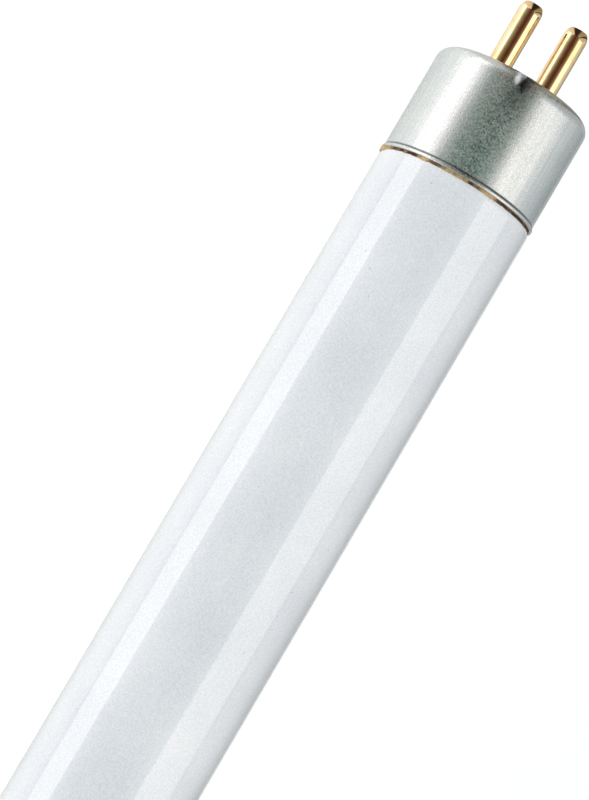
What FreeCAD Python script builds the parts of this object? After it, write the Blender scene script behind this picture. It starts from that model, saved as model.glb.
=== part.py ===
# Miniature fluorescent lamp: a 16 mm glass tube with a two-pin cap at each end.
# Sizes are in millimetres. The tube's axis is X with the origin at its middle, +Z is
# up, and the two pins of each end stand side by side along Y.

import FreeCAD, Part
import math
import os
import Sketcher

doc = FreeCAD.newDocument("fluorescent_tube")
sheet = doc.addObject("Spreadsheet::Sheet", "lamp")

FULL_TURN = 360.0
HALF_TURN = 180.0
QUARTER_TURN = 90.0


class Size:
    """A size that knows its value now and the rule that gives it from the sheet."""

    def __init__(self, value, rule):
        self.value = value
        self.rule = rule

    def __add__(self, other):
        other = as_size(other)
        return Size(self.value + other.value, f"({self.rule} + {other.rule})")

    def __sub__(self, other):
        other = as_size(other)
        return Size(self.value - other.value, f"({self.rule} - {other.rule})")

    def __mul__(self, other):
        other = as_size(other)
        return Size(self.value * other.value, f"({self.rule} * {other.rule})")

    def __truediv__(self, other):
        other = as_size(other)
        return Size(self.value / other.value, f"({self.rule} / {other.rule})")

    def __neg__(self):
        return Size(-self.value, f"(0 - {self.rule})")


def as_size(number):
    if isinstance(number, Size):
        return number
    return Size(float(number), repr(float(number)))


def root(size):
    return Size(math.sqrt(size.value), f"sqrt({size.rule})")


def dimension(alias, value, meaning):
    """Write one driving dimension as a row of the sheet and give it back as a Size."""
    row = dimension.rows + 1
    dimension.rows = row
    sheet.set(f"A{row}", meaning)
    sheet.set(f"B{row}", str(value))
    sheet.setAlias(f"B{row}", alias)
    return Size(value, f"{sheet.Name}.{alias}")


dimension.rows = 0

# Driving dimensions: the lamp as a whole and its glass
face_to_face = dimension("face_to_face", 288.0, "end face of one cap to that of the other")
tube_diameter = dimension("tube_diameter", 15.6, "outside of the glass tube")
glass_wall = dimension("glass_wall", 0.75, "wall of the tube and of its stems")
glass_setback = dimension("glass_setback", 5.5, "cap end face to the glass rim in the cap")
seam_gap = dimension("seam_gap", 0.62, "lip edge to where the glass has its full diameter")
shoulder_length = dimension("shoulder_length", 1.4, "length over which the glass necks in")
fold_gap = dimension("fold_gap", 0.5, "gap inside the fold at the glass rim")
flare_length = dimension("flare_length", 5.0, "length over which the funnel narrows")
stem_length = dimension("stem_length", 15.5, "glass rim to the inner end of the press")
press_length = dimension("press_length", 3.5, "length of the solid glass press")
press_round = dimension("press_round", 0.6, "rounding at the inner end of the press")
stub_diameter = dimension("stub_diameter", 2.4, "outside of the sealed exhaust stub")
stub_bore = dimension("stub_bore", 1.0, "bore of the exhaust stub")
stub_length = dimension("stub_length", 8.5, "press to the tip of the exhaust stub")

# Driving dimensions: the cap shell
cap_step = dimension("cap_step", 0.1, "how much the cap is thinner than the tube")
cap_wall = dimension("cap_wall", 0.3, "sheet thickness of the cap")
cap_length = dimension("cap_length", 11.25, "end face of the cap to its lip edge")
cap_corner = dimension("cap_corner", 1.3, "outer rounding between side and end face")
lip_proud = dimension("lip_proud", 0.15, "how far the lip stands out from the side")
lip_bead = dimension("lip_bead", 0.2, "radius of the rolled lip")
lip_throat = dimension("lip_throat", 0.2, "radius of the hollow above the lip")
stake_radius = dimension("stake_radius", 1.3, "nose radius of the staking punch")
stake_width = dimension("stake_width", 1.9, "length of a stake mark around the rim")
stake_depth = dimension("stake_depth", 0.42, "depth of a stake mark at its middle")
stake_angle = dimension("stake_angle", 35.0, "direction of the punch above the cap side")
stake_tilt = dimension("stake_tilt", 24.0, "tilt of the punch along the rim")

# Driving dimensions: cement, insulator, pins and leads
cement_gap = dimension("cement_gap", 0.5, "cement between the glass neck and the shell")
cement_depth = dimension("cement_depth", 4.3, "lip edge to the inner end of the cement")
cement_bulge = dimension("cement_bulge", 0.12, "how far the cement bead bulges at the seam")
insulator_thickness = dimension("insulator_thickness", 1.6, "thickness of the disc")
insulator_clearance = dimension("insulator_clearance", 0.05, "disc to shell, all round")
boss_width = dimension("boss_width", 5.0, "width of the raised boss around the pins")
boss_clearance = dimension("boss_clearance", 0.1, "boss to the opening in the shell")
boss_recess = dimension("boss_recess", 0.1, "boss face below the end face of the cap")
pin_spacing = dimension("pin_spacing", 4.75, "distance between the axes of the pins")
pin_diameter = dimension("pin_diameter", 2.3, "outside of a pin")
pin_length = dimension("pin_length", 7.4, "end face of the cap to the tip of a pin")
pin_nose = dimension("pin_nose", 0.88, "length over which a pin narrows to its nose")
pin_tip = dimension("pin_tip", 1.74, "diameter at the end of the nose of a pin")
pin_edge = dimension("pin_edge", 0.15, "radius of the edge around the flat tip of a pin")
shank_step = dimension("shank_step", 0.2, "pin surface to the shank in the insulator")
shank_clearance = dimension("shank_clearance", 0.02, "shank to its hole in the insulator")
flange_proud = dimension("flange_proud", 0.45, "how far the swaged flange overlaps the hole")
flange_thickness = dimension("flange_thickness", 0.3, "thickness of the swaged flange")
lead_diameter = dimension("lead_diameter", 0.5, "outside of a lead wire")
lead_clearance = dimension("lead_clearance", 0.05, "lead to the bore of the pin")
lead_reach = dimension("lead_reach", 1.4, "end face of the cap to the end of a lead")
lead_inset = dimension("lead_inset", 0.275, "how much closer to the axis a lead starts")
lead_tail = dimension("lead_tail", 1.0, "straight lead below the pin before it bends")
lead_bend = dimension("lead_bend", 3.0, "length over which a lead moves sideways")
stem_room = dimension("stem_room", 0.4, "lead to the bore of the stem")
doc.recompute()

# Sizes that follow from the driving dimensions
half_length = face_to_face / 2
tube_radius = tube_diameter / 2
cap_radius = tube_radius - cap_step / 2
shell_bore = cap_radius - cap_wall
lip_radius = cap_radius + lip_proud
lip_bore = lip_radius - cap_wall
neck_radius = shell_bore - cement_gap
throat_drop = cap_radius + lip_throat - (lip_radius - lip_bead)
throat_reach = lip_bead + lip_throat
throat_rise = root(throat_reach * throat_reach - throat_drop * throat_drop)
lip_height = lip_bead + throat_rise
shoulder_drop = tube_radius - neck_radius
pin_offset = pin_spacing / 2
pin_radius = pin_diameter / 2
shank_radius = pin_radius - shank_step
shank_hole = shank_radius + shank_clearance
lead_radius = lead_diameter / 2
lead_offset = pin_offset - lead_inset
insulator_bottom = cap_wall + insulator_thickness
pin_bottom = insulator_bottom + flange_thickness
press_face = glass_setback + stem_length - press_length
stem_bore = lead_offset + lead_radius + stem_room


def ogee_radius(drop, length):
    """Radius of two equal tangent arcs that step sideways by drop over length."""
    return (drop * drop + length * length) / (drop * 4)


class Outline:
    """A sketch outline of lines and arcs, each end point placed by sizes of the sheet."""

    def __init__(self, x, y):
        self.points = [(as_size(x), as_size(y))]
        self.edges = []

    def line(self, x, y):
        self.points.append((as_size(x), as_size(y)))
        self.edges.append(None)

    def arc(self, x, y, radius, turn):
        """Arc to a point, of less than half a turn: turn is +1 to the left, -1 to the right."""
        self.points.append((as_size(x), as_size(y)))
        self.edges.append((as_size(radius), turn))

    def ogee(self, x, y, along_x, turn):
        """Two equal arcs to a point, leaving and arriving along one axis."""
        last_x, last_y = self.points[-1]
        side_x = as_size(x) - last_x
        side_y = as_size(y) - last_y
        drop, length = (side_y, side_x) if along_x else (side_x, side_y)
        if drop.value < 0:
            drop = -drop
        radius = ogee_radius(drop, length)
        self.arc((last_x + x) / 2, (last_y + y) / 2, radius, turn)
        self.arc(x, y, radius, -turn)

    def close(self):
        self.points.append(self.points[0])
        self.edges.append(None)

    def draw(self, body, name, plane):
        """Draw the outline as a fully constrained sketch on a plane of the body."""
        sketch = new_sketch(body, name, plane)
        ends = []
        for index, edge in enumerate(self.edges):
            start = flat_point(self.points[index])
            end = flat_point(self.points[index + 1])
            if edge is None:
                sketch.addGeometry(Part.LineSegment(start, end), False)
                ends.append((START, END))
                continue
            radius, turn = edge
            sketch.addGeometry(arc_between(start, end, radius.value, turn), False)
            ends.append((START, END) if turn > 0 else (END, START))
            bind_constraint(sketch, Sketcher.Constraint("Radius", index, radius.value), radius)
        closed = self.points[-1] is self.points[0]
        for index, (first, last) in enumerate(ends):
            place_point(sketch, index, first, self.points[index])
            if index + 1 < len(ends):
                join = Sketcher.Constraint("Coincident", index, last, index + 1, ends[index + 1][0])
                sketch.addConstraint(join)
            elif closed:
                sketch.addConstraint(Sketcher.Constraint("Coincident", index, last, 0, ends[0][0]))
            else:
                place_point(sketch, index, last, self.points[-1])
        return sketch


# The Sketcher's own numbers for the ends of an edge, the origin and the two axes
START, END = 1, 2
CENTRE = 3
ORIGIN = (-1, 1)
X_AXIS_LINE = -1
Y_AXIS_LINE = -2


def flat_point(point):
    return FreeCAD.Vector(point[0].value, point[1].value, 0)


def arc_between(start, end, radius, turn):
    """Arc of less than half a turn from start to end, always drawn anticlockwise."""
    chord = end - start
    half_chord = chord.Length / 2
    reach = math.sqrt(max(radius * radius - half_chord * half_chord, 0.0))
    left = FreeCAD.Vector(-chord.y, chord.x, 0).normalize()
    centre = (start + end) / 2 + left * reach * turn
    first, last = (start, end) if turn > 0 else (end, start)
    first_angle = math.atan2(first.y - centre.y, first.x - centre.x)
    last_angle = math.atan2(last.y - centre.y, last.x - centre.x)
    if last_angle < first_angle:
        last_angle += 2 * math.pi
    circle = Part.Circle(centre, FreeCAD.Vector(0, 0, 1), radius)
    return Part.ArcOfCircle(circle, first_angle, last_angle)


def bind_constraint(sketch, constraint, size):
    index = sketch.addConstraint(constraint)
    sketch.setExpression(f"Constraints[{index}]", size.rule)


def place_point(sketch, edge, end, point):
    """Fix a point by its signed distances from the two axes of the sketch."""
    axes = (("DistanceX", Y_AXIS_LINE), ("DistanceY", X_AXIS_LINE))
    for (kind, axis_line), size in zip(axes, point):
        if size.value == 0:
            sketch.addConstraint(Sketcher.Constraint("PointOnObject", edge, end, axis_line))
        elif size.value > 0:
            constraint = Sketcher.Constraint(kind, *ORIGIN, edge, end, size.value)
            bind_constraint(sketch, constraint, size)
        else:
            constraint = Sketcher.Constraint(kind, edge, end, *ORIGIN, -size.value)
            bind_constraint(sketch, constraint, -size)


def origin_feature(body, role):
    return next(item for item in body.Origin.OriginFeatures if item.Role == role)


def new_body(label):
    body = doc.addObject("PartDesign::Body", label)
    body.Label = label
    return body


def new_sketch(body, name, plane):
    sketch = body.newObject("Sketcher::SketchObject", name)
    sketch.AttachmentSupport = [(origin_feature(body, plane), "")]
    sketch.MapMode = "FlatFace"
    return sketch


def draw_circles(body, name, circles):
    """Sketch whole circles, each given by its centre and radius, on the body's XY plane."""
    sketch = new_sketch(body, name, "XY_Plane")
    for index, (x, y, radius) in enumerate(circles):
        centre = (as_size(x), as_size(y))
        circle = Part.Circle(flat_point(centre), FreeCAD.Vector(0, 0, 1), radius.value)
        sketch.addGeometry(circle, False)
        bind_constraint(sketch, Sketcher.Constraint("Radius", index, radius.value), radius)
        place_point(sketch, index, CENTRE, centre)
    return sketch


def revolve(body, name, outline, axis):
    """Turn an outline on the XZ plane about an axis of its sketch."""
    section = outline.draw(body, f"{name}_section", "XZ_Plane")
    solid = body.newObject("PartDesign::Revolution", name)
    solid.Profile = section
    solid.ReferenceAxis = (section, [axis])
    solid.Angle = FULL_TURN
    return solid


def repeat_half_turn(body, name, feature):
    """Repeat a feature once, half a turn round the body's Z axis."""
    pattern = body.newObject("PartDesign::PolarPattern", name)
    pattern.Originals = [feature]
    pattern.Axis = (origin_feature(body, "Z_Axis"), [""])
    pattern.Angle = FULL_TURN
    pattern.Occurrences = 2
    body.Tip = pattern
    return pattern


def obround(width, spacing):
    """Outline with round ends about two centres that lie on the sketch's Y axis."""
    side = width / 2
    centre = spacing / 2
    shape = Outline(side, -centre)
    shape.line(side, centre)
    shape.arc(0, centre + side, side, 1)
    shape.arc(-side, centre, side, 1)
    shape.line(-side, -centre)
    shape.arc(0, -(centre + side), side, 1)
    shape.arc(side, -centre, side, 1)
    shape.points[-1] = shape.points[0]
    return shape


# Glass bulb: one sealed piece. Each end necks in under the cap, folds over at its rim
# and runs back as a funnel and stem to the press, with the exhaust stub on the axis.
def build_glass_bulb():
    body = new_body("glass_bulb")
    shoulder_start = half_length - cap_length - seam_gap
    shoulder_end = shoulder_start + shoulder_length
    fold_radius = fold_gap / 2
    rim_radius = fold_radius + glass_wall
    fold_centre = half_length - glass_setback - rim_radius
    rim_top = half_length - glass_setback
    fold_middle = neck_radius - rim_radius
    funnel_mouth = fold_middle - rim_radius
    stem_start = fold_centre - flare_length
    press_top = half_length - press_face
    press_end = press_top - press_length
    stub_radius = stub_diameter / 2
    stub_tip = press_top + stub_length
    bore_radius = stub_bore / 2
    stem_outside = stem_bore + glass_wall
    tube_bore = tube_radius - glass_wall
    neck_bore = neck_radius - glass_wall

    outline = Outline(0, tube_radius)
    outline.line(shoulder_start, tube_radius)
    outline.ogee(shoulder_end, neck_radius, True, -1)
    outline.line(fold_centre, neck_radius)
    outline.arc(rim_top, fold_middle, rim_radius, -1)
    outline.arc(fold_centre, funnel_mouth, rim_radius, -1)
    flare_radius = ogee_radius(funnel_mouth - stem_bore, flare_length)
    flare_middle = (fold_centre + stem_start) / 2
    outline.arc(flare_middle, (funnel_mouth + stem_bore) / 2, flare_radius, 1)
    outline.arc(stem_start, stem_bore, flare_radius, -1)
    outline.line(press_top, stem_bore)
    outline.line(press_top, stub_radius)
    outline.line(stub_tip - stub_radius, stub_radius)
    outline.arc(stub_tip, 0, stub_radius, -1)
    outline.line(stub_tip - (stub_radius - bore_radius), 0)
    outline.line(stub_tip - (stub_radius - bore_radius), bore_radius)
    outline.line(press_end, bore_radius)
    outline.line(press_end, stem_outside - press_round)
    outline.arc(press_end + press_round, stem_outside, press_round, -1)
    outline.line(stem_start, stem_outside)
    flare_back = (funnel_mouth + stem_bore) / 2 + glass_wall
    outline.arc(flare_middle, flare_back, flare_radius, 1)
    outline.arc(fold_centre, funnel_mouth + glass_wall, flare_radius, -1)
    outline.arc(fold_centre + fold_radius, fold_middle, fold_radius, 1)
    outline.arc(fold_centre, neck_bore, fold_radius, 1)
    outline.line(shoulder_end, neck_bore)
    neck_middle = (shoulder_start + shoulder_end) / 2
    shoulder_radius = ogee_radius(shoulder_drop, shoulder_length)
    outline.arc(neck_middle, (tube_bore + neck_bore) / 2, shoulder_radius, -1)
    outline.arc(shoulder_start, tube_bore, shoulder_radius, 1)
    outline.line(0, tube_bore)
    outline.close()
    half = revolve(body, "half_bulb", outline, "H_Axis")

    mirror = body.newObject("PartDesign::Mirrored", "other_half")
    mirror.Originals = [half]
    mirror.MirrorPlane = (origin_feature(body, "YZ_Plane"), [""])
    body.Tip = mirror
    return body


# The pieces of one end are drawn with Z pointing out of the lamp and the cap's end face
# at Z = 0. A stake mark is the cut of a round punch across the rounded rim, deeper at
# one end; inside the shell and in the insulator the same cut is larger by the margin.
def stake_marks(body, name, margin):
    tilt = math.radians(stake_tilt.value)
    rise = math.radians(stake_angle.value)
    outward = FreeCAD.Vector(math.cos(rise), 0, math.sin(rise))
    along = FreeCAD.Vector(0, 1, 0) * math.cos(tilt) - outward * math.sin(tilt)
    turn = FreeCAD.Rotation(FreeCAD.Vector(0, 0, 1), along)
    reach = cap_corner + stake_radius - stake_depth
    length = stake_width + margin * 2
    punch = body.newObject("PartDesign::SubtractiveCylinder", name)
    punch.AttachmentSupport = [(origin_feature(body, "XY_Plane"), "")]
    punch.MapMode = "FlatFace"
    punch.AttachmentOffset = FreeCAD.Placement(FreeCAD.Vector(), turn)
    base_x = cap_radius - cap_corner + reach * outward.x - length / 2 * along.x
    base_y = -(length / 2 * along.y)
    base_z = reach * outward.z - cap_corner - length / 2 * along.z
    for side, size in (("x", base_x), ("y", base_y), ("z", base_z)):
        punch.setExpression(f"AttachmentOffset.Base.{side}", size.rule)
    punch.setExpression("Radius", (stake_radius + margin).rule)
    punch.setExpression("Height", length.rule)
    return repeat_half_turn(body, f"{name}_pair", punch)


# Cap shell: drawn from thin sheet, with a rolled lip at its open end, a long opening
# for the boss of the insulator in its end face, and two stake marks on its rim.
def build_cap_shell(end):
    body = new_body(f"{end}_cap_shell")
    throat_start = -(cap_length - lip_height)
    outline = Outline(0, 0)
    outline.line(cap_radius - cap_corner, 0)
    outline.arc(cap_radius, -cap_corner, cap_corner, -1)
    outline.line(cap_radius, throat_start)
    throat_share = lip_bead / throat_reach
    meet_x = lip_radius - lip_bead + throat_drop * throat_share
    meet_y = throat_rise * throat_share - cap_length + lip_bead
    outline.arc(meet_x, meet_y, lip_throat, 1)
    outline.arc(lip_radius, lip_bead - cap_length, lip_bead, -1)
    outline.arc(lip_radius - lip_bead, -cap_length, lip_bead, -1)
    outline.line(0, -cap_length)
    outline.close()
    revolve(body, f"{end}_shell_outside", outline, "V_Axis")
    stake_marks(body, f"{end}_shell_stake", as_size(0))

    hollow = new_body(f"{end}_shell_hollow")
    hollow_end = -(cap_length + lip_height)
    hollow_outline = Outline(0, -cap_wall)
    hollow_outline.line(cap_radius - cap_corner, -cap_wall)
    hollow_outline.arc(shell_bore, -cap_corner, cap_corner - cap_wall, -1)
    hollow_outline.line(shell_bore, throat_start)
    hollow_outline.line(lip_bore, lip_bead - cap_length)
    hollow_outline.line(lip_bore, hollow_end)
    hollow_outline.line(0, hollow_end)
    hollow_outline.close()
    revolve(hollow, f"{end}_hollow_form", hollow_outline, "V_Axis")
    stake_marks(hollow, f"{end}_hollow_stake", cap_wall)

    cut = body.newObject("PartDesign::Boolean", f"{end}_shell_wall")
    cut.Type = "Cut"
    cut.addObjects([hollow])
    body.Tip = cut

    opening_outline = obround(boss_width + boss_clearance * 2, pin_spacing)
    opening = body.newObject("PartDesign::Pocket", f"{end}_shell_opening")
    opening.Profile = opening_outline.draw(body, f"{end}_opening_outline", "XY_Plane")
    opening.Type = "Length"
    opening.Reversed = False
    opening.setExpression("Length", cap_corner.rule)
    body.Tip = opening
    return body


# Insulator: moulded disc that fills the cap's end, with a raised boss that stands in the
# opening of the shell, two holes for the pin shanks and room for the stake marks.
def build_insulator(end):
    body = new_body(f"{end}_insulator")
    disc_radius = shell_bore - insulator_clearance
    disc_round = cap_corner - cap_wall
    outline = Outline(0, -cap_wall)
    outline.line(disc_radius - disc_round, -cap_wall)
    outline.arc(disc_radius, -cap_corner, disc_round, -1)
    outline.line(disc_radius, -insulator_bottom)
    outline.line(0, -insulator_bottom)
    outline.close()
    revolve(body, f"{end}_disc", outline, "V_Axis")

    boss = body.newObject("PartDesign::Pad", f"{end}_boss")
    boss_outline = obround(boss_width, pin_spacing).draw(body, f"{end}_boss_outline", "XY_Plane")
    boss_outline.setExpression("AttachmentOffset.Base.z", (-cap_wall).rule)
    boss.Profile = boss_outline
    boss.setExpression("Length", (cap_wall - boss_recess).rule)
    body.Tip = boss
    stake_marks(body, f"{end}_insulator_stake", cap_wall + insulator_clearance)

    holes = body.newObject("PartDesign::Pocket", f"{end}_pin_holes")
    circles = [(0, pin_offset, shank_hole), (0, -pin_offset, shank_hole)]
    holes.Profile = draw_circles(body, f"{end}_hole_outlines", circles)
    holes.Type = "Length"
    holes.Reversed = False
    holes.setExpression("Length", (insulator_bottom + cap_wall).rule)
    body.Tip = holes
    return body


# Contact pin: turned brass, with a shoulder on the boss, a thinner shank through the
# insulator, a swaged flange behind it and a blind bore for the end of the lead.
def build_pin(label):
    body = new_body(label)
    bore_radius = lead_radius + lead_clearance
    nose_drop = pin_radius - pin_tip / 2
    nose_radius = (nose_drop * nose_drop + pin_nose * pin_nose) / (nose_drop * 2)
    edge_rise = pin_edge - pin_edge * pin_nose / nose_radius
    edge_inset = pin_edge - pin_edge * nose_drop / nose_radius
    nose_end = pin_length - edge_rise
    outline = Outline(0, pin_length)
    outline.line(0, lead_reach + lead_clearance)
    outline.line(bore_radius, lead_reach + lead_clearance)
    outline.line(bore_radius, -pin_bottom)
    outline.line(shank_radius + flange_proud, -pin_bottom)
    outline.line(shank_radius + flange_proud, -insulator_bottom)
    outline.line(shank_radius, -insulator_bottom)
    outline.line(shank_radius, -boss_recess)
    outline.line(pin_radius, -boss_recess)
    outline.line(pin_radius, nose_end - pin_nose)
    outline.arc(pin_tip / 2, nose_end, nose_radius, 1)
    outline.arc(pin_tip / 2 - edge_inset, pin_length, pin_edge, 1)
    outline.close()
    revolve(body, f"{label}_turned", outline, "V_Axis")
    return body


# Lead: round wire from the face of the press, with one gentle double bend, to the
# blind bore of its pin.
def build_lead(label):
    body = new_body(label)
    bend_end = -(pin_bottom + lead_tail)
    bend_start = bend_end - lead_bend
    route = Outline(lead_offset, -press_face)
    route.line(lead_offset, bend_start)
    route.ogee(pin_offset, bend_end, False, -1)
    route.line(pin_offset, lead_reach)
    spine = route.draw(body, f"{label}_route", "YZ_Plane")
    section = draw_circles(body, f"{label}_section", [(0, lead_offset, lead_radius)])
    section.setExpression("AttachmentOffset.Base.z", (-press_face).rule)
    wire = body.newObject("PartDesign::AdditivePipe", f"{label}_wire")
    wire.Profile = section
    wire.Spine = (spine, [])
    return body


# Cement ring: fills the space between the glass neck and the shell, follows the lip and
# closes the seam with a small bead.
def build_cement_ring(end):
    body = new_body(f"{end}_cement_ring")
    throat_start = -(cap_length - lip_height)
    cement_top = -(cap_length - cement_depth)
    shoulder_start = -(cap_length + seam_gap)
    shoulder_end = shoulder_start + shoulder_length
    shoulder_radius = ogee_radius(shoulder_drop, shoulder_length)
    edge_x = lip_radius - lip_bead
    chord_x = tube_radius - edge_x
    chord_square = chord_x * chord_x + seam_gap * seam_gap
    bead_radius = (chord_square / 4 + cement_bulge * cement_bulge) / (cement_bulge * 2)
    outline = Outline(neck_radius, cement_top)
    outline.line(neck_radius, shoulder_end)
    outline.arc((neck_radius + tube_radius) / 2, (shoulder_start + shoulder_end) / 2, shoulder_radius, 1)
    outline.arc(tube_radius, shoulder_start, shoulder_radius, -1)
    outline.arc(edge_x, -cap_length, bead_radius, 1)
    outline.line(lip_bore, -cap_length)
    outline.line(lip_bore, lip_bead - cap_length)
    outline.line(shell_bore, throat_start)
    outline.line(shell_bore, cement_top)
    outline.close()
    revolve(body, f"{end}_cement_fill", outline, "V_Axis")
    return body


def place(body, direction, side):
    """Put a piece at one end of the lamp: direction is +1 for the right end, -1 for left."""
    turn_out = FreeCAD.Rotation(FreeCAD.Vector(0, 1, 0), direction * QUARTER_TURN)
    turn_round = FreeCAD.Rotation(FreeCAD.Vector(0, 0, 1), HALF_TURN if side < 0 else 0)
    body.Placement = FreeCAD.Placement(FreeCAD.Vector(), turn_out.multiply(turn_round))
    body.setExpression("Placement.Base.x", (half_length * direction).rule)


parts = [build_glass_bulb()]
for end, direction in (("right", 1), ("left", -1)):
    for build in (build_cap_shell, build_insulator, build_cement_ring):
        piece = build(end)
        place(piece, direction, 1)
        parts.append(piece)
    for name, side in (("front", -1), ("back", 1)):
        pin = build_pin(f"{end}_pin_{name}")
        place(pin, direction, 1)
        pin.setExpression("Placement.Base.y", (pin_offset * side).rule)
        parts.append(pin)
        lead = build_lead(f"{end}_lead_{name}")
        place(lead, direction, side)
        parts.append(lead)
doc.recompute()

for item in doc.Objects:
    if "Invalid" in item.State or "Error" in item.State:
        raise RuntimeError(f"{item.Label} failed: {item.State}")
    if item.TypeId == "Sketcher::SketchObject" and not item.FullyConstrained:
        raise RuntimeError(f"{item.Label} is not fully constrained")
    if item.TypeId in ("PartDesign::Pocket", "PartDesign::SubtractiveCylinder"):
        if item.Shape.Volume >= item.BaseFeature.Shape.Volume:
            raise RuntimeError(f"{item.Label} cuts nothing")
for piece in parts:
    if piece.Shape.isNull() or not piece.Shape.isValid():
        raise RuntimeError(f"{piece.Label} has no valid shape")

os.makedirs("parts", exist_ok=True)
for piece in parts:
    piece.Shape.exportStep(f"parts/{piece.Label}.step")
    print(f"{piece.Label}: {piece.Shape.Volume:.2f} mm3, {len(piece.Shape.Solids)} solid")
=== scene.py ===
import math

import bpy
from mathutils import Matrix, Vector, noise


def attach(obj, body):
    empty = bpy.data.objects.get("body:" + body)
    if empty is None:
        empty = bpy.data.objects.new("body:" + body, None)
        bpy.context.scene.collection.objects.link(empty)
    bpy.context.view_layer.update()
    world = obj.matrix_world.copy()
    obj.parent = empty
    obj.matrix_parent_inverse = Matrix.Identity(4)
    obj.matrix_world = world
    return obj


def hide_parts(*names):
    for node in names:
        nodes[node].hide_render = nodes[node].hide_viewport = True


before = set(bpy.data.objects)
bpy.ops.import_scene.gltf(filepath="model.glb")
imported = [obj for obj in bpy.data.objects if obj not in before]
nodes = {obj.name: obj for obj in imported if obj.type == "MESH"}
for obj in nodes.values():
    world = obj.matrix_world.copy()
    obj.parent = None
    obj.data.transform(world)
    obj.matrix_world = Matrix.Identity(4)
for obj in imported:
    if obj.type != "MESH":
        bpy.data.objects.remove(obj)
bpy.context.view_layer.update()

# Camera. A long lens looks down on the lamp and a little towards its pins, rolled so that the
# lamp runs from the lower left of the picture to the upper right, cut off by the lower corner.
# The seam between the glass and the cap's lip lies at SEAM_PIXEL, counted from the upper left.
MM = 0.001
IMAGE_WIDTH = 589
IMAGE_HEIGHT = 800
PIXEL = MM / 11.0
SEAM_PIXEL = Vector((455.1, 191.9))
SEAM_POINT = Vector((132.7 * MM, 0, 0))
PINS_LEAN_AWAY = math.radians(9.6)
LAMP_ROLL = math.radians(30.44)
LENS = 500.0
SENSOR = 36.0

towards_camera = Vector((-math.sin(PINS_LEAN_AWAY), 0, math.cos(PINS_LEAN_AWAY)))
along_lamp = Vector((math.cos(PINS_LEAN_AWAY), 0, math.sin(PINS_LEAN_AWAY)))
across_lamp = Vector((0, -1, 0))
image_right = along_lamp * math.sin(LAMP_ROLL) + across_lamp * math.cos(LAMP_ROLL)
image_up = along_lamp * math.cos(LAMP_ROLL) - across_lamp * math.sin(LAMP_ROLL)
seam_shift = (SEAM_PIXEL - Vector((IMAGE_WIDTH, IMAGE_HEIGHT)) / 2) * PIXEL
image_middle_point = SEAM_POINT - image_right * seam_shift.x + image_up * seam_shift.y
camera_distance = IMAGE_HEIGHT * PIXEL * LENS / SENSOR
camera_point = image_middle_point + towards_camera * camera_distance

camera = bpy.data.objects.new("camera", bpy.data.cameras.new("camera"))
bpy.context.scene.collection.objects.link(camera)
bpy.context.scene.camera = camera
camera.data.lens = LENS
camera.data.sensor_width = SENSOR
turned = Matrix((image_right, image_up, towards_camera)).transposed().to_4x4()
camera.matrix_world = Matrix.Translation(camera_point) @ turned

# Studio. Two long soft boxes hang beside the lamp, parallel to it, brightest along the edge
# nearest the camera. A third, above the lamp, fills the matt surfaces alone, because gloss sees
# only a dim room there. The box on the right ends just past the pins, whose noses it misses.

# Angles go round the lamp in degrees, from 0 straight up to 90 at the right of the picture. The
# radiance changes evenly from the first angle to the second, and a power of pi watts a square
# metre makes it 1. Lengths are in metres.
SOFT_BOX_REACH = 0.6
SOFT_BOXES = {
    "left_soft_box": {
        "angles": (-90.0, -58.7),
        "radiance": (1.15, 1.65),
        "along": (-0.9, 0.9),
        "colour": "fffaf5",
        "shows_in_gloss": True,
    },
    "right_soft_box": {
        "angles": (40.5, 87.0),
        "radiance": (1.38, 0.9),
        "along": (-0.9, 0.33),
        "colour": "fff5ec",
        "shows_in_gloss": True,
    },
    "upper_fill": {
        "angles": (-40.0, 40.0),
        "radiance": (0.55, 0.55),
        "along": (-0.9, 0.9),
        "colour": "fffaff",
        "shows_in_gloss": False,
    },
}


def linear(code):
    """A colour written as sRGB hex, such as 'c8d0d4', as linear red, green, blue and 1."""
    parts = [int(code[i : i + 2], 16) / 255 for i in (0, 2, 4)]
    return tuple(c / 12.92 if c <= 0.04045 else ((c + 0.055) / 1.055) ** 2.4 for c in parts) + (1.0,)


def add(tree, kind, settings=None, sockets=None):
    """Adds a node. A socket given another node's output is linked to it, any other is set.

    The sockets of a Mix node go by number: 0 is how far it goes from one to the other, 2 and 3
    are two numbers, 6 and 7 are two colours, and a mixed colour is output 2.
    """
    made = tree.nodes.new("ShaderNode" + kind)
    for name, value in (settings or {}).items():
        setattr(made, name, value)
    for name, value in (sockets or {}).items():
        if isinstance(value, bpy.types.NodeSocket):
            tree.links.new(value, made.inputs[name])
        else:
            made.inputs[name].default_value = value
    return made


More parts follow.
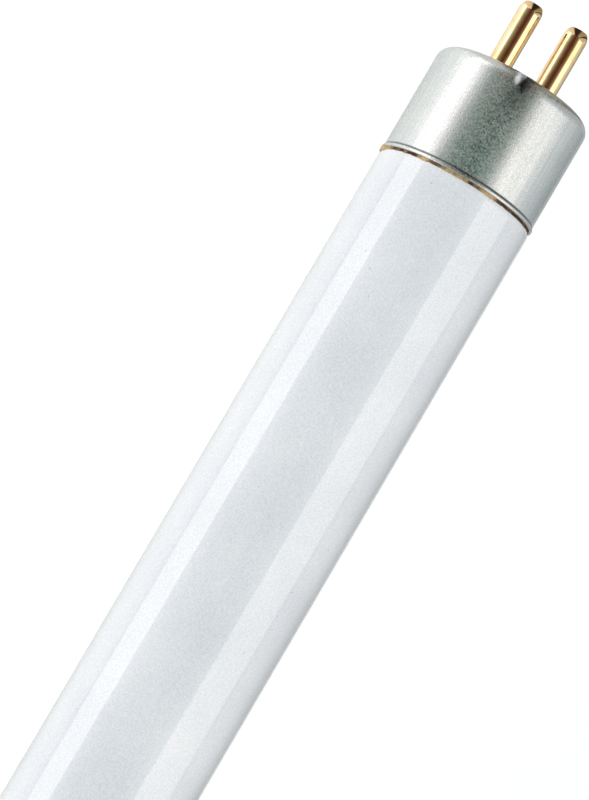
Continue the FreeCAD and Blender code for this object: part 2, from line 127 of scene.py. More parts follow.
for name, box in SOFT_BOXES.items():
    from_angle, to_angle = (math.radians(a) for a in box["angles"])
    middle_angle = (from_angle + to_angle) / 2
    width = 2 * SOFT_BOX_REACH * math.tan((to_angle - from_angle) / 2)
    from_x, to_x = box["along"]
    length = to_x - from_x
    soft_box = bpy.data.objects.new(name, bpy.data.lights.new(name, "AREA"))
    bpy.context.scene.collection.objects.link(soft_box)
    soft_box.data.shape = "RECTANGLE"
    soft_box.data.size = width
    soft_box.data.size_y = length
    soft_box.data.energy = math.pi * width * length
    soft_box.data.use_nodes = True
    tree = soft_box.data.node_tree
    tree.nodes.clear()
    across = add(tree, "SeparateXYZ", sockets={0: add(tree, "NewGeometry").outputs["Parametric"]})
    from_radiance, to_radiance = box["radiance"]
    falloff = add(
        tree,
        "MapRange",
        sockets={"Value": across.outputs["X"], "To Min": from_radiance, "To Max": to_radiance},
    )
    diffuser = add(
        tree,
        "Emission",
        sockets={"Color": linear(box["colour"]), "Strength": falloff.outputs[0]},
    )
    add(tree, "OutputLight", sockets={"Surface": diffuser.outputs[0]})
    outward = Vector((0, -math.sin(middle_angle), math.cos(middle_angle)))
    lengthwise = Vector((1, 0, 0))
    turned = Matrix((lengthwise.cross(outward), lengthwise, outward)).transposed().to_4x4()
    middle = outward * SOFT_BOX_REACH + lengthwise * (from_x + to_x) / 2
    soft_box.matrix_world = Matrix.Translation(middle) @ turned
    soft_box.visible_camera = False
    soft_box.visible_glossy = box["shows_in_gloss"]

# Room. White to the camera. The rest of the light finds it dark and green-grey behind the
# camera, and lit by the soft boxes' spill beside them.

# Degrees round the lamp, as above, and how bright the room is there.
ROOM_GLOW = [
    (-180, "f3f3f3"), (-90, "f3f3f3"), (-58, "f8f8f8"), (-50, "dedede"), (-45, "bcbebe"),
    (-36, "80918b"), (-28, "638a7b"), (-21, "4f7969"), (-14, "456e5e"), (-7, "3a6453"),
    (0, "355e4e"), (7, "3a6453"), (14, "45705f"), (21, "5d8374"), (28, "8da49b"),
    (34, "bdc6c2"), (39, "dadcda"), (90, "c8d4d8"), (180, "aaaaaa"),
]


def set_stops(ramp, stops):
    """Gives a colour ramp these stops, each a place from 0 to 1 and a colour as sRGB hex."""
    elements = ramp.color_ramp.elements
    elements.remove(elements[1])
    for index, (at, colour) in enumerate(stops):
        element = elements[0] if index == 0 else elements.new(at)
        element.position = at
        element.color = linear(colour)


world = bpy.data.worlds.new("room")
bpy.context.scene.world = world
world.use_nodes = True
tree = world.node_tree
tree.nodes.clear()
outward = add(tree, "SeparateXYZ", sockets={0: add(tree, "TexCoord").outputs["Generated"]})
rightward = add(tree, "Math", {"operation": "MULTIPLY"}, {0: outward.outputs["Y"], 1: -1.0})
azimuth = add(
    tree,
    "Math",
    {"operation": "ARCTAN2"},
    {0: rightward.outputs[0], 1: outward.outputs["Z"]},
)
turn = add(
    tree,
    "MapRange",
    sockets={"Value": azimuth.outputs[0], "From Min": -math.pi, "From Max": math.pi},
)
walls = add(tree, "ValToRGB", sockets={0: turn.outputs[0]})
set_stops(walls, [((angle + 180) / 360, colour) for angle, colour in ROOM_GLOW])
ray = add(tree, "LightPath")
room = add(tree, "Background", sockets={"Color": walls.outputs[0]})
white = add(tree, "Background", sockets={"Color": (1, 1, 1, 1)})
seen = add(
    tree,
    "MixShader",
    sockets={0: ray.outputs["Is Camera Ray"], 1: room.outputs[0], 2: white.outputs[0]},
)
add(tree, "OutputWorld", sockets={"Surface": seen.outputs[0]})

# Floor. A wide white sheet some way below the lamp, so that the lamp's shadow on it is faint.
# It lights itself up to white for the camera and less so in reflections, and both more far from
# the lamp, where less light falls on it.

# For each kind of ray: the lift below the lamp, the lift far off, and where that is reached.
FLOOR_DROP = 0.25
FLOOR_HALF = 3.0
LIFTS = {
    "Is Camera Ray": (0.52, 0.95, 1.2),
    "Is Glossy Ray": (0.05, 0.89, 0.8),
    "Is Transmission Ray": (0.0, 0.87, 0.8),
}
floor_mesh = bpy.data.meshes.new("floor")
floor_mesh.from_pydata(
    [(x * FLOOR_HALF, y * FLOOR_HALF, 0) for x, y in ((-1, -1), (1, -1), (1, 1), (-1, 1))],
    [],
    [(0, 1, 2, 3)],
)
floor = bpy.data.objects.new("floor", floor_mesh)
floor.location.z = -FLOOR_DROP
bpy.context.scene.collection.objects.link(floor)
paper = bpy.data.materials.new("white backdrop paper")
paper.use_nodes = True
tree = paper.node_tree
tree.nodes.clear()
floor_mesh.materials.append(paper)
ray = add(tree, "LightPath")
place = add(tree, "TexCoord").outputs["Object"]
away = add(tree, "VectorMath", {"operation": "LENGTH"}, {0: place})
lift = 0.0
for kind_of_ray, (near_lift, far_lift, reach) in LIFTS.items():
    wanted = add(
        tree,
        "MapRange",
        sockets={
            "Value": away.outputs["Value"],
            "From Max": reach,
            "To Min": near_lift,
            "To Max": far_lift,
        },
    )
    summed = add(
        tree,
        "Math",
        {"operation": "MULTIPLY_ADD"},
        {0: ray.outputs[kind_of_ray], 1: wanted.outputs[0], 2: lift},
    )
    lift = summed.outputs[0]
glow = add(tree, "Emission", sockets={"Strength": lift})
matt = add(tree, "BsdfDiffuse", sockets={"Color": linear("e6e6e6")})
both = add(tree, "AddShader", sockets={0: matt.outputs[0], 1: glow.outputs[0]})
add(tree, "OutputMaterial", sockets={"Surface": both.outputs[0]})

# Cards. Small flags of printed card round the lamp, each with a ramp from one colour to others.
# They show in gloss alone, and give the lamp's edges, the cap's rim and the pins their darks.

# The grey one stands beside the lamp, under the right soft box, and keeps light from below off
# that edge. The dark one stands past the pins, for the rim of the cap. The brown ones hang over
# the pins of both ends, for their middle, and the nose card stands close to the right pins.
# Lengths are in metres, low and high are opposite corners, and reach is where the ramp runs.
BROWNS = [(0.0, "96836c"), (0.2, "7a5845"), (0.5, "47343a"), (0.8, "7a5845"), (1.0, "96836c")]
CARDS = {
    "grey_card": {
        "low": (-0.9, -0.12, -FLOOR_DROP),
        "high": (0.9, -0.12, 0.0),
        "axis": "Z",
        "reach": (-0.12, 0.0),
        "stops": [(0.0, "a3adb0"), (1.0, "f2f7f8")],
        "stops_light": True,
    },
    "dark_card": {
        "low": (0.2, -0.3, -FLOOR_DROP),
        "high": (0.2, 0.014, 0.02),
        "axis": "Y",
        "reach": (-0.035, 0.0),
        "stops": [(0.0, "c4c8c6"), (0.75, "2a2826")],
        "stops_light": False,
    },
    "brown_card": {
        "low": (0.1535, -0.03, 0.05),
        "high": (0.26, 0.03, 0.05),
        "axis": "Y",
        "reach": (-0.03, 0.03),
        "stops": BROWNS,
        "stops_light": False,
    },
    "left_brown_card": {
        "low": (-0.26, -0.03, 0.05),
        "high": (-0.1535, 0.03, 0.05),
        "axis": "Y",
        "reach": (-0.03, 0.03),
        "stops": BROWNS,
        "stops_light": False,
    },
    "nose_card": {
        "low": (0.16, -0.016, -0.03),
        "high": (0.16, 0.016, 0.017),
        "axis": "Y",
        "reach": (-0.016, 0.016),
        "stops": [
            (0.0, "2a2826"), (0.08, "3a342e"), (0.14, "b0a690"), (0.33, "a09680"),
            (0.38, "3c342e"), (0.62, "2b2322"), (0.69, "ece6dc"), (1.0, "f8f6f2"),
        ],
        "stops_light": False,
    },
}
for name, plan in CARDS.items():
    low, high = plan["low"], plan["high"]
    wide = 1 if low[0] == high[0] else 0
    second, fourth = list(low), list(high)
    second[wide], fourth[wide] = high[wide], low[wide]
    card_mesh = bpy.data.meshes.new(name)
    card_mesh.from_pydata([low, second, high, fourth], [], [(0, 1, 2, 3)])
    card = bpy.data.objects.new(name, card_mesh)
    bpy.context.scene.collection.objects.link(card)
    card.visible_camera = False
    card.visible_shadow = False
    card.visible_diffuse = plan["stops_light"]
    card_paper = bpy.data.materials.new(name.replace("_", " "))
    card_paper.use_nodes = True
    tree = card_paper.node_tree
    tree.nodes.clear()
    card_mesh.materials.append(card_paper)
    spot = add(tree, "SeparateXYZ", sockets={0: add(tree, "TexCoord").outputs["Object"]})
    ramp_from, ramp_to = plan["reach"]
    along = add(
        tree,
        "MapRange",
        sockets={"Value": spot.outputs[plan["axis"]], "From Min": ramp_from, "From Max": ramp_to},
    )
    shade = add(tree, "ValToRGB", sockets={0: along.outputs[0]})
    set_stops(shade, plan["stops"])
    in_gloss = add(tree, "LightPath").outputs["Is Glossy Ray"]
    printed = add(tree, "Emission", sockets={"Color": shade.outputs[0], "Strength": in_gloss})
    add(tree, "OutputMaterial", sockets={"Surface": printed.outputs[0]})

# Glass bulb. Drawn soda-lime tube, 15.6 mm thick, clear and glossy outside, with a baked white
# powder coating on its inner wall. Both ends are necked in and sealed to their stems.

# From here on, lengths are in millimetres.
POWDER_GRAIN = 0.16
POWDER_CLOUD = 9.0
CLOUD_SHARE = 0.3
PIT_SPACING = 2.6
PIT_RADIUS = (0.03, 0.045)
GLASS_IOR = 1.52


def new_material(name):
    """A material with one Principled shader, and the coordinates of the lamp's own frame."""
    material = bpy.data.materials.new(name)
    material.use_nodes = True
    tree = material.node_tree
    tree.nodes.clear()
    shader = add(tree, "BsdfPrincipled")
    add(tree, "OutputMaterial", sockets={"Surface": shader.outputs[0]})
    return material, tree, shader, add(tree, "TexCoord").outputs["Object"]


def per_metre(millimetres):
    """Scale of a pattern whose grains are this many millimetres apart."""
    return 1 / (millimetres * MM)


# Soda-lime glass over fired powder: a pale blue-white body under a clear, sharp gloss, with a
# faint seed or pit here and there. The powder's grain is a few hundredths of a millimetre, and
# is drawn much coarser so that it shows.
glass, tree, shader, place = new_material("coated soda-lime glass")
grain = add(
    tree,
    "TexNoise",
    sockets={"Vector": place, "Scale": per_metre(POWDER_GRAIN), "Detail": 2.0, "Roughness": 0.6},
)
cloud = add(
    tree,
    "TexNoise",
    sockets={"Vector": place, "Scale": per_metre(POWDER_CLOUD), "Detail": 3.0, "Roughness": 0.5},
)
grain_and_cloud = add(
    tree,
    "Mix",
    sockets={0: CLOUD_SHARE, 2: grain.outputs[0], 3: cloud.outputs[0]},
)
powder = add(
    tree,
    "MapRange",
    sockets={"Value": grain_and_cloud.outputs[0], "From Min": 0.3, "From Max": 0.7},
)
powder_colour = add(
    tree,
    "Mix",
    {"data_type": "RGBA"},
    {0: powder.outputs[0], 6: linear("d8dbe4"), 7: linear("f8f7fc")},
)
pits = add(tree, "TexVoronoi", sockets={"Vector": place, "Scale": per_metre(PIT_SPACING)})
outside_pit = add(
    tree,
    "MapRange",
    sockets={
        "Value": pits.outputs["Distance"],
        "From Min": PIT_RADIUS[0],
        "From Max": PIT_RADIUS[1],
    },
)
bulb_colour = add(
    tree,
    "Mix",
    {"data_type": "RGBA"},
    {0: outside_pit.outputs[0], 6: linear("c9cccc"), 7: powder_colour.outputs[2]},
)
tree.links.new(bulb_colour.outputs[2], shader.inputs["Base Color"])
shader.inputs["Roughness"].default_value = 0.05
shader.inputs["IOR"].default_value = GLASS_IOR
shader.inputs["Coat Weight"].default_value = 1.0
shader.inputs["Coat Roughness"].default_value = 0.02
shader.inputs["Coat IOR"].default_value = GLASS_IOR
nodes["glass_bulb"].material_slots[0].material = glass

# Leads. Nickel-iron wires, 0.5 mm thick, that come out of the glass press and end in the
# bores of the pins. They lie inside the caps.

# Drawn nickel-iron: a dull, warm grey metal with fine lines along the wire, left by the die.
DIE_LINE = 0.06
DIE_LINE_STRETCH = (0.05, 1.0, 1.0)
wire, tree, shader, place = new_material("drawn nickel-iron wire")
drawn = add(tree, "Mapping", sockets={"Vector": place, "Scale": DIE_LINE_STRETCH})
die_lines = add(
    tree,
    "TexNoise",
    sockets={"Vector": drawn.outputs[0], "Scale": per_metre(DIE_LINE), "Detail": 3.0},
)
dulled = add(
    tree,
    "Mix",
    {"data_type": "RGBA"},
    {0: die_lines.outputs[0], 6: linear("a39f97"), 7: linear("c4beb4")},
)
tree.links.new(dulled.outputs[2], shader.inputs["Base Color"])
shader.inputs["Metallic"].default_value = 1.0
shader.inputs["Roughness"].default_value = 0.35
for end in ("right", "left"):
    for side in ("front", "back"):
        nodes[f"{end}_lead_{side}"].material_slots[0].material = wire

# Pins. Brass, turned from 2.3 mm rod with a rounded nose, polished by tumbling, and riveted
# into the insulator by a flange.

# Polished brass: a clear yellow mirror, slightly browned where it was handled, with faint rings
# left by the turning. The rings are drawn coarser than real ones so that they show.
TOOL_MARK = 0.1
TOOL_MARK_STRETCH = (1.0, 0.08, 0.08)
TOOL_MARK_DEPTH = 0.002
HANDLING = 1.2
brass, tree, shader, place = new_material("turned and polished brass")
turned_round = add(tree, "Mapping", sockets={"Vector": place, "Scale": TOOL_MARK_STRETCH})
tool_marks = add(
    tree,
    "TexNoise",
    sockets={"Vector": turned_round.outputs[0], "Scale": per_metre(TOOL_MARK), "Detail": 3.0},
)
handling = add(
    tree,
    "TexNoise",
    sockets={"Vector": place, "Scale": per_metre(HANDLING), "Detail": 4.0, "Roughness": 0.6},
)
tarnish = add(
    tree,
    "MapRange",
    sockets={"Value": handling.outputs[0], "From Min": 0.45, "From Max": 0.75},
)
brass_colour = add(
    tree,
    "Mix",
    {"data_type": "RGBA"},
    {0: tarnish.outputs[0], 6: linear("f2d6a8"), 7: linear("dfb67c")},
)
tree.links.new(brass_colour.outputs[2], shader.inputs["Base Color"])
shader.inputs["Metallic"].default_value = 1.0
polish = add(
    tree,
    "MapRange",
    sockets={
        "Value": handling.outputs[0],
        "From Min": 0.3,
        "From Max": 0.7,
        "To Min": 0.05,
        "To Max": 0.1,
    },
)
tree.links.new(polish.outputs[0], shader.inputs["Roughness"])
marks = add(
    tree,
    "Bump",
    sockets={
        "Height": tool_marks.outputs[0],
        "Strength": 0.3,
        "Distance": TOOL_MARK_DEPTH * MM,
    },
)
tree.links.new(marks.outputs[0], shader.inputs["Normal"])
for end in ("right", "left"):
    for side in ("front", "back"):
        nodes[f"{end}_pin_{side}"].material_slots[0].material = brass

# Insulators. A plate of dark brown phenolic resin, moulded with its boss, that closes each
# cap from inside and carries the two pins.

# Moulded phenolic: a dark, slightly glossy brown, mottled by the wood flour in it, with the
# faint unevenness of a pressed skin.
WOOD_FLOUR = 0.25
SKIN_DEPTH = 0.02
phenolic, tree, shader, place = new_material("moulded phenolic resin")
flour = add(
    tree,
    "TexNoise",
    sockets={"Vector": place, "Scale": per_metre(WOOD_FLOUR), "Detail": 5.0, "Roughness": 0.65},
)
resin_colour = add(
    tree,
    "Mix",
    {"data_type": "RGBA"},
    {0: flour.outputs[0], 6: linear("2a1b14"), 7: linear("543a2b")},
)
tree.links.new(resin_colour.outputs[2], shader.inputs["Base Color"])
sheen = add(
    tree,
    "MapRange",
    sockets={"Value": flour.outputs[0], "To Min": 0.38, "To Max": 0.6},
)
tree.links.new(sheen.outputs[0], shader.inputs["Roughness"])
mould_skin = add(
    tree,
    "Bump",
    sockets={"Height": flour.outputs[0], "Strength": 0.5, "Distance": SKIN_DEPTH * MM},
)
tree.links.new(mould_skin.outputs[0], shader.inputs["Normal"])
for end in ("right", "left"):
    nodes[f"{end}_insulator"].material_slots[0].material = phenolic

# Cap shells. Cups drawn from 0.3 mm aluminium sheet, with a rolled lip at the open end, a
# rounded rim, and two stake marks punched through the rim to hold the insulator.

# Drawn aluminium: a satin grey metal with fine lines along the draw, stains from handling, and
# a speckle of crystals where the sheet was stretched and etched clean, some of them under a
# thicker, matt oxide. They are under a tenth of a millimetre and are drawn coarser so that they
# show. A painted shade darkens the hollow above the lip, each punched mark and the metal round
# it, and a painted highlight lies beside each mark, pale and less metallic.
DRAW_LINE = 0.45
DRAW_LINE_STRETCH = (0.04, 1.0, 1.0)
DRAW_LINE_DEPTH = 0.007
SPECKLE = 0.2
SPECKLE_DEPTH = 0.015
CRYSTAL = 0.14
STAIN = 3.5
# Where a painted shade lies along the hollow above the lip, and how dark it is there.
HOLLOW_X = 133.16
HOLLOW_HALF_WIDTH = 0.17
HOLLOW_SHADE = 0.8

# The painted shade in a mark, the fainter painted shade round it and the painted highlight
# beside it all have ragged edges: the speckle times the raggedness is taken off the distance
# before it is held against the reach.
MARK_MIDDLE = (142.9, -0.5, 7.2)
MARK_STRETCH = (0.42, 1.0, 0.3)
MARK_REACH = 0.6
MARK_SHADE = 0.9
ROUND_MARK_SHADE_REACH = 1.6
ROUND_MARK_SHADE = 0.62
MARK_RAGGEDNESS = 0.5
# Where a painted highlight lies beside each mark, and how far it takes the metal from metallic.
BURR_HIGHLIGHT_MIDDLE = (143.1, 0.3, 7.2)
BURR_HIGHLIGHT_STRETCH = (0.5, 1.2, 0.5)
BURR_HIGHLIGHT_REACH = (-0.1, 0.16)
BURR_HIGHLIGHT_RAGGEDNESS = 0.6
BURR_HIGHLIGHT_MATTNESS = 0.8

aluminium, tree, shader, place = new_material("drawn satin aluminium")
drawn = add(tree, "Mapping", sockets={"Vector": place, "Scale": DRAW_LINE_STRETCH})
draw_lines = add(
    tree,
    "TexNoise",
    sockets={
        "Vector": drawn.outputs[0],
        "Scale": per_metre(DRAW_LINE),
        "Detail": 5.0,
        "Roughness": 0.65,
    },
)
speckle = add(
    tree,
    "TexNoise",
    sockets={"Vector": place, "Scale": per_metre(SPECKLE), "Detail": 4.0, "Roughness": 0.9},
)
crystals = add(tree, "TexVoronoi", sockets={"Vector": place, "Scale": per_metre(CRYSTAL)})
stain = add(
    tree,
    "TexNoise",
    sockets={"Vector": place, "Scale": per_metre(STAIN), "Detail": 4.0, "Roughness": 0.6},
)
stained = add(
    tree,
    "Mix",
    {"data_type": "RGBA"},
    {0: stain.outputs[0], 6: linear("cfd0d0"), 7: linear("e4e4e4")},
)
line_shade = add(
    tree,
    "MapRange",
    sockets={"Value": draw_lines.outputs[0], "From Min": 0.35, "From Max": 0.65, "To Max": 0.3},
)
lined = add(
    tree,
    "Mix",
    {"data_type": "RGBA"},
    {0: line_shade.outputs[0], 6: stained.outputs[2], 7: linear("a0a6a6")},
)
speckle_shade = add(
    tree,
    "MapRange",
    sockets={"Value": speckle.outputs[0], "From Min": 0.36, "From Max": 0.64, "To Max": 0.22},
)
speckled = add(
    tree,
    "Mix",
    {"data_type": "RGBA"},
    {0: speckle_shade.outputs[0], 6: lined.outputs[2], 7: linear("98a1a0")},
)

# The four marks lie alike at both ends, above and below, and slant the same way round, so the
# lamp's frame is folded until all of them fall on the one of the right cap that faces up.
spot = add(tree, "SeparateXYZ", sockets={0: place})
along = add(tree, "Math", {"operation": "ABSOLUTE"}, {0: spot.outputs["X"]})
up = add(tree, "Math", {"operation": "ABSOLUTE"}, {0: spot.outputs["Z"]})
turned_over = add(
    tree,
    "Math",
    {"operation": "MULTIPLY"},
    {0: spot.outputs["X"], 1: spot.outputs["Z"]},
)
side = add(tree, "Math", {"operation": "SIGN"}, {0: turned_over.outputs[0]})
aside = add(
    tree,
    "Math",
    {"operation": "MULTIPLY"},
    {0: spot.outputs["Y"], 1: side.outputs[0]},
)
folded = add(
    tree,
    "CombineXYZ",
    sockets={"X": along.outputs[0], "Y": aside.outputs[0], "Z": up.outputs[0]},
)
ragged_distances = []
for middle, stretch, raggedness in (
    (MARK_MIDDLE, MARK_STRETCH, MARK_RAGGEDNESS),
    (BURR_HIGHLIGHT_MIDDLE, BURR_HIGHLIGHT_STRETCH, BURR_HIGHLIGHT_RAGGEDNESS),
):
    from_middle = add(
        tree,
        "VectorMath",
        {"operation": "SUBTRACT"},
        {0: folded.outputs[0], 1: tuple(c * MM for c in middle)},
    )
    stretched = add(
        tree,
        "VectorMath",
        {"operation": "MULTIPLY"},
        {0: from_middle.outputs[0], 1: stretch},
    )
    distance = add(tree, "VectorMath", {"operation": "LENGTH"}, {0: stretched.outputs[0]})
    ragged = add(
        tree,
        "Math",
        {"operation": "MULTIPLY_ADD"},
        {0: speckle.outputs[0], 1: -raggedness * MM, 2: distance.outputs["Value"]},
    )
    ragged_distances.append(ragged.outputs[0])
from_mark, from_burr_highlight = ragged_distances
# A painted shade in each punched mark, and a fainter painted shade round it.
mark_painted_shade = add(
    tree,
    "MapRange",
    sockets={
        "Value": from_mark,
        "From Max": MARK_REACH * MM,
        "To Min": MARK_SHADE,
        "To Max": 0.0,
    },
)
shade_round_mark = add(
    tree,
    "MapRange",
    sockets={
        "Value": from_mark,
        "From Max": ROUND_MARK_SHADE_REACH * MM,
        "To Min": ROUND_MARK_SHADE,
        "To Max": 0.0,
    },
)
# A painted shade along the hollow above the lip.
from_hollow = add(
    tree,
    "Math",
    {"operation": "SUBTRACT"},
    {0: along.outputs[0], 1: HOLLOW_X * MM},
)
hollow_distance = add(tree, "Math", {"operation": "ABSOLUTE"}, {0: from_hollow.outputs[0]})
hollow_painted_shade = add(
    tree,
    "MapRange",
    sockets={
        "Value": hollow_distance.outputs[0],
        "From Min": 0.3 * HOLLOW_HALF_WIDTH * MM,
        "From Max": HOLLOW_HALF_WIDTH * MM,
        "To Min": HOLLOW_SHADE,
        "To Max": 0.0,
    },
)
at_mark = add(
    tree,
    "Math",
    {"operation": "MAXIMUM"},
    {0: mark_painted_shade.outputs[0], 1: shade_round_mark.outputs[0]},
)
# All the painted shade together, mixed into the colour as a dark green-grey.
painted_shade = add(
    tree,
    "Math",
    {"operation": "MAXIMUM"},
    {0: at_mark.outputs[0], 1: hollow_painted_shade.outputs[0]},
)
with_painted_shade = add(
    tree,
    "Mix",
    {"data_type": "RGBA"},
    {0: painted_shade.outputs[0], 6: speckled.outputs[2], 7: linear("27302d")},
)
# A painted highlight beside each mark, pale and less metallic.
burr_highlight = add(
    tree,
    "MapRange",
    sockets={
        "Value": from_burr_highlight,
        "From Min": BURR_HIGHLIGHT_REACH[0] * MM,
        "From Max": BURR_HIGHLIGHT_REACH[1] * MM,
        "To Min": 1.0,
        "To Max": 0.0,
    },
)
metal_colour = add(
    tree,
    "Mix",
    {"data_type": "RGBA"},
    {0: burr_highlight.outputs[0], 6: with_painted_shade.outputs[2], 7: linear("fafafa")},
)
tree.links.new(metal_colour.outputs[2], shader.inputs["Base Color"])
bare_metal = add(
    tree,
    "MapRange",
    sockets={
        "Value": crystals.outputs["Color"],
        "From Min": 0.1,
        "From Max": 0.9,
        "To Min": 1.0,
        "To Max": 0.62,
    },
)
metallic = add(
    tree,
    "Math",
    {"operation": "MULTIPLY_ADD", "use_clamp": True},
    {0: burr_highlight.outputs[0], 1: -BURR_HIGHLIGHT_MATTNESS, 2: bare_metal.outputs[0]},
)
tree.links.new(metallic.outputs[0], shader.inputs["Metallic"])
satin = add(
    tree,
    "MapRange",
    sockets={
        "Value": speckle.outputs[0],
        "From Min": 0.36,
        "From Max": 0.64,
        "To Min": 0.18,
        "To Max": 0.32,
    },
)
tree.links.new(satin.outputs[0], shader.inputs["Roughness"])
lines = add(
    tree,
    "Bump",
    sockets={
        "Height": draw_lines.outputs[0],
        "Strength": 1.0,
        "Distance": DRAW_LINE_DEPTH * MM,
    },
)
etched = add(
    tree,
    "Bump",
    sockets={
        "Height": speckle.outputs[0],
        "Strength": 1.0,
        "Distance": SPECKLE_DEPTH * MM,
        "Normal": lines.outputs[0],
    },
)
tree.links.new(etched.outputs[0], shader.inputs["Normal"])
for end in ("right", "left"):
    nodes[f"{end}_cap_shell"].material_slots[0].material = aluminium

# Cement rings. Resin and marble flour, squeezed out of the joint as the cap was pressed on and
# baked hard. It shows as a thin line between the glass and the lip, sunk in places and darkened
# there by a painted shade, flush and tan in others, with one lump over the glass.

# Each ring is a section of points, x and radius in millimetres, turned round the lamp. The part
# that shows runs in a curve from the glass to the lip. Its shape is given where the cement is
# sunk, flush and a lump: x of its start on the glass, x and radius of its end on the lip, and
# how far its crown stands out. The rest lies in the joint.
AROUND = 720
CURVE_STEPS = 14
GLASS_RADIUS = 7.8
SHOULDER_X = 132.13
SHOULDER_CURVE = 0.789
SUNK = (132.5, 132.81, 7.62, -0.03)
FLUSH = (132.4, 132.77, 7.69, 0.03)
LUMP = (132.3, 132.89, 7.87, 0.33)
BELOW_SURFACE = 0.01
HIGHEST = 7.89
IN_LIP = (132.95, 7.6)
IN_SHELL = (133.26, 7.45)
SHELL_END = (137.05, 7.45)
NECK_END = (137.05, 6.95)
ON_NECK = (133.53, 6.95)
UNDER_SHOULDER = (132.83, 7.375)
JOINT = [IN_LIP, IN_SHELL, SHELL_END, NECK_END, ON_NECK, UNDER_SHOULDER]

# How full the joint is, from -1, sunk, through 0, flush, to 1, a lump: it wanders slowly round
# the lamp and ripples quickly about BARE, and is fuller at a few places, each an angle and a
# width in degrees and how much fuller it is there.
BARE = -0.75
WANDER, WANDER_PACE = 0.3, 2.3
RIPPLE, RIPPLE_PACE = 0.25, 14.0
FULLER_PLACES = [(-82, 13, 1.9), (-32, 5, 0.75), (-6, 11, 0.55), (21, 6, 0.7)]
CRUMB_HEIGHT = 0.02
LUMP_CRUMB_HEIGHT = 0.14
# How sunk the cement must be before a painted shade darkens it, and how fast the shade grows.
SUNK_SHADE_FROM = 0.25
SUNK_SHADE_RISE = 2.2

# Baked marble-flour cement: matt, sandy and tan, with a painted brown shade where it is sunk.
# Its grit is drawn coarser than the tenth of a millimetre that it has, so that it shows.
GRIT = 0.22
GRIT_DEPTH = 0.05
cement, tree, shader, place = new_material("baked marble-flour cement")
grit = add(
    tree,
    "TexNoise",
    sockets={"Vector": place, "Scale": per_metre(GRIT), "Detail": 4.0, "Roughness": 0.7},
)
grit_range = add(
    tree,
    "MapRange",
    sockets={"Value": grit.outputs[0], "From Min": 0.35, "From Max": 0.65},
)
grit_colour = add(
    tree,
    "Mix",
    {"data_type": "RGBA"},
    {0: grit_range.outputs[0], 6: linear("9a7444"), 7: linear("e3c898")},
)
# The painted shade of sunk cement turns it brown.
sunk_shade = add(tree, "Attribute", {"attribute_name": "sunk_shade"})
cement_colour = add(
    tree,
    "Mix",
    {"data_type": "RGBA"},
    {0: sunk_shade.outputs["Fac"], 6: grit_colour.outputs[2], 7: linear("4a2c14")},
)
tree.links.new(cement_colour.outputs[2], shader.inputs["Base Color"])
shader.inputs["Roughness"].default_value = 0.9
rough = add(
    tree,
    "Bump",
    sockets={"Height": grit.outputs[0], "Strength": 0.8, "Distance": GRIT_DEPTH * MM},
)
tree.links.new(rough.outputs[0], shader.inputs["Normal"])


def near(angle, middle, width):
    """1 at the middle angle and falling to 0 over about twice the width, in degrees."""
    away = math.remainder(angle - math.radians(middle), 2 * math.pi)
    return math.exp(-((away / math.radians(width)) ** 2))


def squeezed_out(angle, end_sign):
    """How full the joint is at this angle round the lamp: -1 sunk, 0 flush, 1 a lump."""
    round_it = Vector((math.cos(angle), math.sin(angle), 0))
    wander = noise.noise(round_it * WANDER_PACE + Vector((0, 0, 4.0 * end_sign)))
    ripple = noise.noise(round_it * RIPPLE_PACE + Vector((0, 0, 9.0 * end_sign)))
    full = BARE + WANDER * wander + RIPPLE * ripple
    for middle, width, fullness in FULLER_PLACES:
        full += fullness * near(angle, middle * end_sign, width)
    return max(-1.0, min(1.0, full))


def shoulder_radius(x):
    """Radius of the glass where it begins to neck in."""
    past = max(x - SHOULDER_X, 0)
    return GLASS_RADIUS - SHOULDER_CURVE + math.sqrt(SHOULDER_CURVE**2 - past**2)


def crumbs(spot):
    """How rough the cement is at this spot, from about -1 to 1."""
    return noise.noise(spot * 5.0) * 0.5 + noise.noise(spot * 11.0) * 0.35


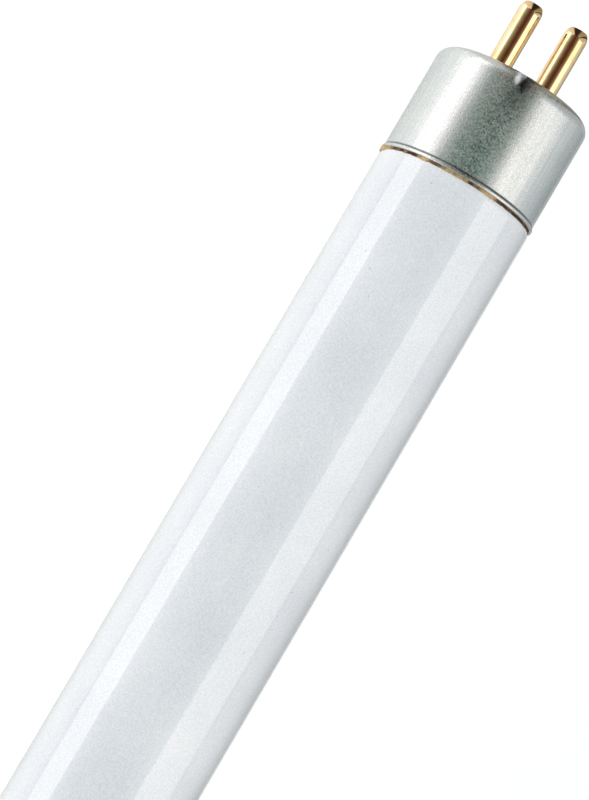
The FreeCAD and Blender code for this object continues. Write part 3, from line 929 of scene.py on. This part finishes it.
for end, end_sign in (("right", 1), ("left", -1)):
    rings = []
    sunk_shades = []
    for k in range(AROUND):
        angle = 2 * math.pi * k / AROUND
        full = squeezed_out(angle, end_sign)
        over, sunk = max(full, 0), max(-full, 0)
        start_x, finish_x, finish_radius, crown_height = (
            f + (s - f) * sunk + (m - f) * over for s, f, m in zip(SUNK, FLUSH, LUMP)
        )
        start = Vector((start_x, shoulder_radius(start_x) - BELOW_SURFACE))
        finish = Vector((finish_x, finish_radius))
        crown = (start + finish) / 2 + Vector((0, crown_height))
        crumb_height = CRUMB_HEIGHT + LUMP_CRUMB_HEIGHT * over
        section = []
        for step in range(CURVE_STEPS + 1):
            t = step / CURVE_STEPS
            point = start * (1 - t) ** 2 + crown * 2 * t * (1 - t) + finish * t**2
            spot = Vector((point.x, point.y * math.sin(angle), point.y * math.cos(angle)))
            point.y += crumb_height * crumbs(spot) * math.sin(math.pi * t)
            section.append((point.x, min(point.y, HIGHEST)))
        section += JOINT
        rings.append([(end_sign * x, -r * math.sin(angle), r * math.cos(angle)) for x, r in section])
        # A painted shade on sunk cement, kept on its points.
        sunk_shades += [min(1.0, max(0.0, (sunk - SUNK_SHADE_FROM) * SUNK_SHADE_RISE))] * len(section)
    count = len(rings[0])
    points = [tuple(c * MM for c in p) for ring in rings for p in ring]
    faces = []
    for k in range(AROUND):
        this, following = k * count, (k + 1) % AROUND * count
        for j in range(count):
            n = (j + 1) % count
            face = (this + j, this + n, following + n, following + j)
            faces.append(face if end_sign < 0 else face[::-1])
    ring_mesh = bpy.data.meshes.new(f"{end}_squeezed_cement")
    ring_mesh.from_pydata(points, [], faces)
    ring_mesh.shade_smooth()
    ring_mesh.attributes.new("sunk_shade", "FLOAT", "POINT").data.foreach_set("value", sunk_shades)
    ring_mesh.materials.append(cement)
    squeezed_ring = bpy.data.objects.new(f"{end}_squeezed_cement", ring_mesh)
    bpy.context.scene.collection.objects.link(squeezed_ring)
    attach(squeezed_ring, "root")
    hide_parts(f"{end}_cement_ring")

bpy.context.scene.view_settings.view_transform = "Standard"
